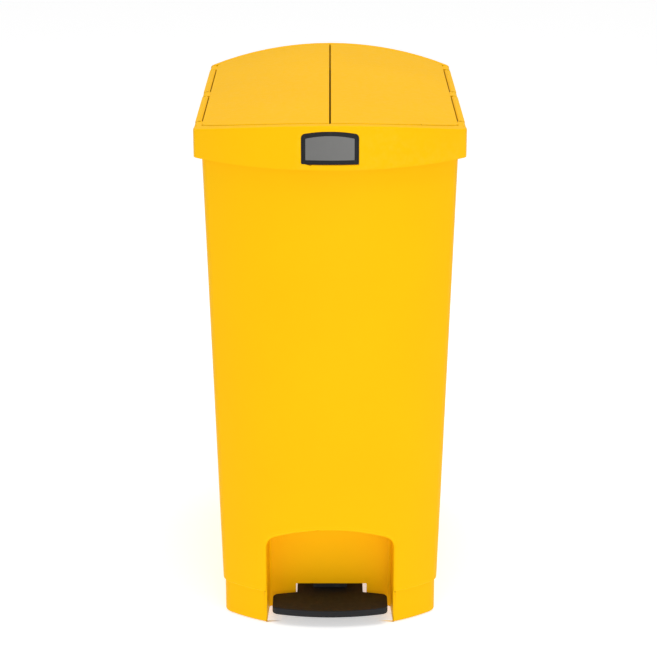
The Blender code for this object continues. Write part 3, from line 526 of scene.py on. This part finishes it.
def archLoop(bm, shape, grow, foot, place):
    # An arch on two legs, stood up, with each point as far back as place(x, z) says
    half, rise = shape["half"] + grow, shape["rise"]
    radius = (half**2 + rise**2) / (2 * rise)
    centre = shape["crown"] + grow - radius
    corner = shape["corner"] + grow
    verts = archedEnd(bm, half, radius, centre, corner, archSteps["corner"], archSteps["bow"])
    left, right = ends(verts)
    feet = [bm.verts.new((x, foot, 0)) for x in (-half, half)]
    for pair in ((left, feet[0]), (right, feet[1]), feet):
        bm.edges.new(pair)
    loop = verts + feet
    for vert in loop:
        x, z, _ = vert.co
        vert.co = (x, place(x, z), z)
    return loopEdges(loop)


def archSolid(shape, rings):
    bm = bmesh.new()
    rims = [archLoop(bm, shape, *ring) for ring in rings]
    for one, other in zip(rims, rims[1:]):
        bmesh.ops.bridge_loops(bm, edges=one + other)
    bmesh.ops.contextual_create(bm, geom=rims[0])
    bmesh.ops.contextual_create(bm, geom=rims[-1])
    bmesh.ops.recalc_face_normals(bm, faces=bm.faces)
    return bm


def against(body, depth):
    return lambda x, z: wallFront(body, x, max(z, 0.0)) + depth


def flat(y):
    return lambda x, z: y


def buildRecess(body, shape):
    # A walled block behind the body's front, and the hollow that is cut out of it
    wall, back = body["wall"], shape["back"]
    foot = body["skirtFoot"] + shape["blockLift"]
    rings = [(wall, foot, against(body, wall / 2)), (wall, foot, flat(back + wall))]
    block = makeObject(archSolid(shape, rings), "recessBlock")
    quarter = [math.pi / 2 * step / shape["steps"] for step in range(shape["steps"] + 1)]
    size, foot = shape["mouthRound"], shape["hollowFoot"]
    lip = size + shape["funnel"]
    rings = [(lip, foot, against(body, -shape[name])) for name in ("reachOut", "funnelDepth")]
    for turn in quarter[1:]:
        grow, depth = size * (1 - math.sin(turn)), size * (1 - math.cos(turn))
        rings.append((grow, foot, against(body, depth)))
    size = shape["backRound"]
    for turn in quarter:
        grow, off = size * (1 - math.cos(turn)), size * (1 - math.sin(turn))
        rings.append((-shape["draft"] - grow, foot, flat(back - off)))
    hollow = makeObject(archSolid(shape, rings), "recessHollow")
    return block, hollow


def blocks(name, corners):
    # Several square-edged blocks in one tool: each is its lowest and its highest corner
    bm = bmesh.new()
    for low, high in corners:
        low, high = Vector(low), Vector(high)
        verts = bmesh.ops.create_cube(bm, size=1.0)["verts"]
        bmesh.ops.scale(bm, verts=verts, vec=[abs(side) for side in high - low])
        bmesh.ops.translate(bm, verts=verts, vec=(low + high) / 2)
    return makeObject(bm, name)


mostCorners = 8  # a face with more is cut into triangles after the cuts


def shape3d(target, tools):
    # Adds and cuts the tools in turn, keeps the result and clears the tools away
    for operation, tool in tools:
        step = target.modifiers.new(operation.lower(), "BOOLEAN")
        step.operation = operation
        step.solver = "EXACT"
        step.object = tool
    result = target.evaluated_get(bpy.context.evaluated_depsgraph_get())
    bm = bmesh.new()
    bm.from_mesh(result.to_mesh())
    result.to_mesh_clear()
    bmesh.ops.remove_doubles(bm, verts=bm.verts, dist=nodeMergeGap)
    bmesh.ops.triangulate(
        bm, faces=[face for face in bm.faces if len(face.verts) > mostCorners]
    )
    target.modifiers.clear()
    bm.to_mesh(target.data)
    bm.free()
    for _, tool in tools:
        bpy.data.objects.remove(tool, do_unlink=True)


def around(node, sideways, lengthways, low, high):
    # A block round an upright screw, between two heights
    corner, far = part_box(node)
    middle = (corner + far) / 2
    return (
        (middle.x - sideways, middle.y - lengthways, low),
        (middle.x + sideways, middle.y + lengthways, high),
    )


def buildBosses(shape, boss):
    bosses = []
    rimLow, rimHigh = shape["top"] - boss["rimDepth"], shape["top"] - boss["rimGap"]
    footLow, footHigh = boss["footLevels"]
    for index in range(1, 5):
        bosses.append(around(f"frame_screw_{index}", *boss["rimScrew"], rimLow, rimHigh))
        low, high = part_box(f"guard_screw_{index}")
        middle, back = (low + high) / 2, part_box("linkage_guard")[1].y + boss["guardGap"]
        wide, tall = boss["guardScrew"]
        bosses.append(
            (
                (middle.x - wide, back, middle.z - tall),
                (middle.x + wide, back + boss["guardDepth"], middle.z + tall),
            )
        )
        low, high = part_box(f"rubber_foot_{index}")
        middle = (low + high) / 2
        wide, long = boss["footPad"]
        reach = math.copysign(boss["footReach"], middle.x)
        bosses.append(
            (
                (min(middle.x - wide, middle.x + reach), middle.y - long, footLow),
                (max(middle.x + wide, middle.x + reach), middle.y + long, footHigh),
            )
        )
    return blocks("bodyBosses", bosses)


def buildCuts(shape, recess, slot):
    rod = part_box("lift_rod")
    rodY = (rod[0].y + rod[1].y) / 2
    past, half = recess["slotPast"], slot["half"]
    low, high = shape["floorUnder"] - slot["past"], shape["floorTop"] + slot["past"]
    cuts = [
        (
            (recess["slotLeft"], recess["back"] - past, -past),
            (recess["slotRight"], recess["back"] + past, recess["slotTop"]),
        ),
        ((slot["left"], rodY - half, low), (slot["right"], rodY + half, high)),
    ]
    return blocks("bodyCuts", cuts)


def buildBody(shape, recess):
    walls = buildWalls(shape)
    block, hollow = buildRecess(shape, recess)
    tools = [
        ("UNION", block),
        ("UNION", buildBosses(shape, bossShape)),
        ("DIFFERENCE", hollow),
        ("DIFFERENCE", buildCuts(shape, recess, rodSlot)),
    ]
    shape3d(walls, tools)
    softenPiece(walls, yellow, "casing", ["body_shell"], shape["edgeRound"], 3)


buildBody(bodyShape, recessShape)
print("body made")

# Lid


levelFace, uprightFace = 0.9, 0.1  # how far a face's normal points up


def topEdge(middle, normals):
    # A wall that meets the lid's surface
    up = max(normal.z for normal in normals)
    side = min(abs(normal.z) for normal in normals)
    return up > levelFace and side < uprightFace


lidShape = {
    "rimRound": 0.0014,
    "endStart": 0.15,  # the rim is rounded off past here, at its two ends
    "wingRound": 0.0006,
    "edgeRound": 0.0004,
}


def buildLid(shape):
    bm = liftMesh("lid_frame")
    rim = creases(
        bm,
        lambda middle, normals: topEdge(middle, normals) and abs(middle.y) > shape["endStart"],
    )
    roundOff(bm, rim, shape["rimRound"], 4)
    lid = finishPiece(
        bm, "lidFrame", yellow, "casing", ["lid_frame"], shape["edgeRound"]
    )
    lid.modifiers["softEdges"].use_clamp_overlap = True  # keeps the hinge barrels inside the rim
    for side, body in (("left", "left_wing_body"), ("right", "right_wing_body")):
        bm = liftMesh(f"{side}_wing")
        roundOff(bm, creases(bm, topEdge), shape["wingRound"], 3)
        finishPiece(
            bm,
            f"{side}Wing",
            yellow,
            body,
            [f"{side}_wing"],
            shape["edgeRound"],
        )


buildLid(lidShape)
print("lid made")

# Pedal, label and liner

pedalShape = {"edgeRound": 0.0009}
labelShape = {
    "rise": 0.0028,
    "corner": 0.0008,
    "slope": 0.0002,
    "panelWidth": 0.0026,
    "borderWidth": 0.0010,
    "fieldDepth": 0.0001,
    "panelDepth": 0.0004,
    "thickness": 0.0013,
    "apart": 0.01,
    "bends": 6,
    "edgeRound": 0.00015,
}
linerShape = {"edgeRound": 0.0008}


def buildPedal(shape):
    bm = liftMesh("pedal")
    finishPiece(
        bm, "pedalPlate", black, "pedal_arm", ["pedal"], shape["edgeRound"], 3
    )


def buildLabel(shape):
    # Drawn from its raised field outwards as rings set apart, flattened, then bent to the rim's bow
    low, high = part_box("label_plate")
    slope, panel, border = shape["slope"], shape["panelWidth"], shape["borderWidth"]
    margin = 2 * slope + panel + border
    outline = {
        "half": (high.x - low.x) / 2 - margin,
        "crown": high.z - margin,
        "rise": shape["rise"],
        "corner": shape["corner"],
    }
    terraces = [
        (0.0, shape["fieldDepth"]),
        (slope, shape["panelDepth"]),
        (slope + panel, shape["panelDepth"]),
        (2 * slope + panel, 0.0),
        (margin, 0.0),
        (margin, shape["thickness"]),
    ]
    foot = low.z + margin
    apart = shape["apart"]
    rings = [(grow, foot - grow, flat(level * apart)) for level, (grow, _) in enumerate(terraces)]
    bm = archSolid(outline, rings)
    field = min(bm.faces, key=lambda face: face.calc_center_median().y)
    field.material_index = 1
    for vert in bm.verts:
        vert.co.y = terraces[round(vert.co.y / apart)][1]
    for step in range(-shape["bends"], shape["bends"] + 1):
        x = outline["half"] * step / shape["bends"]
        geom = list(bm.verts) + list(bm.edges) + list(bm.faces)
        bmesh.ops.bisect_plane(bm, geom=geom, plane_co=(x, 0, 0), plane_no=(1, 0, 0))
    radius = bodyShape["bowRadius"]
    for vert in bm.verts:
        vert.co.y += low.y + radius - math.sqrt(radius**2 - vert.co.x**2)
    label = finishPiece(
        bm, "blankLabel", black, "casing", ["label_plate"], shape["edgeRound"]
    )
    label.data.materials.append(blank)


def buildLiner(shape):
    bm = liftMesh("inner_liner")
    finishPiece(
        bm, "binLiner", grey, "casing", ["inner_liner"], shape["edgeRound"], 3
    )


buildPedal(pedalShape)
buildLabel(labelShape)
buildLiner(linerShape)
print("pedal, label and liner made")

# Working parts that keep their own mesh

slotFinish = {
    "body_yellow": yellow,
    "pedal_black": black,
    "inner_grey": grey,
    "nylon": nylon,
    "zinc_steel": zinc,
    "black_steel": coated,
    "rubber": rubber,
}
for part in frame["record"]["subparts"]:
    node = frame["nodes"][part["node"]]
    node.data.materials.clear()
    node.data.materials.append(slotFinish[part["material_slot"]])
print("working parts finished")

# Floor, lights and camera

studio = {
    "floorHalf": 6.0,
    "floorTone": 0.92,
    "floorGlow": 0.50,
    "world": 0.50,
    "lights": [
        # name, power, size, place, aim
        ("frontSoftbox", 15.5, 1.4, (0.35, -2.9, 0.75), (0, 0, 0.25)),
        ("topSoftbox", 20.0, 1.4, (0.1, -0.3, 2.2), (0, 0, 0.5)),
    ],
    "cameraPlace": (0.0, -2.038, 0.953),
    "cameraDown": 18.8,
    "lens": 109.0,
    "shift": (-0.0023, 0.0053),
}


def buildStudio(settings):
    bm = bmesh.new()
    bmesh.ops.create_grid(bm, x_segments=1, y_segments=1, size=settings["floorHalf"])
    mesh = bpy.data.meshes.new("floor")
    bm.to_mesh(mesh)
    bm.free()
    floor = bpy.data.objects.new("floor", mesh)
    bpy.context.scene.collection.objects.link(floor)
    paper, _, shader, _ = startMaterial("floorPaper")
    shader.inputs["Base Color"].default_value = (*[settings["floorTone"]] * 3, 1.0)
    shader.inputs["Roughness"].default_value = 0.8
    shader.inputs["Specular IOR Level"].default_value = 0.1
    shader.inputs["Emission Color"].default_value = (1.0, 1.0, 1.0, 1.0)
    shader.inputs["Emission Strength"].default_value = settings["floorGlow"]
    mesh.materials.append(paper)

    world = bpy.data.worlds.new("studioWorld")
    bpy.context.scene.world = world
    world.use_nodes = True
    back = world.node_tree.nodes["Background"]
    back.inputs["Color"].default_value = (1.0, 1.0, 1.0, 1.0)
    back.inputs["Strength"].default_value = settings["world"]

    for name, power, size, place, aim in settings["lights"]:
        lamp = bpy.data.lights.new(name, "AREA")
        lamp.energy = power
        lamp.size = size
        lampObject = bpy.data.objects.new(name, lamp)
        lampObject.location = place
        towards = Vector(aim) - Vector(place)
        lampObject.rotation_euler = towards.to_track_quat("-Z", "Y").to_euler()
        bpy.context.scene.collection.objects.link(lampObject)

    camera = bpy.data.cameras.new("camera")
    camera.lens = settings["lens"]
    camera.shift_x, camera.shift_y = settings["shift"]
    cameraObject = bpy.data.objects.new("camera", camera)
    cameraObject.location = settings["cameraPlace"]
    cameraObject.rotation_euler = (math.radians(90 - settings["cameraDown"]), 0, 0)
    bpy.context.scene.collection.objects.link(cameraObject)
    bpy.context.scene.camera = cameraObject
    bpy.context.scene.view_settings.view_transform = "Standard"


buildStudio(studio)
print("studio made")
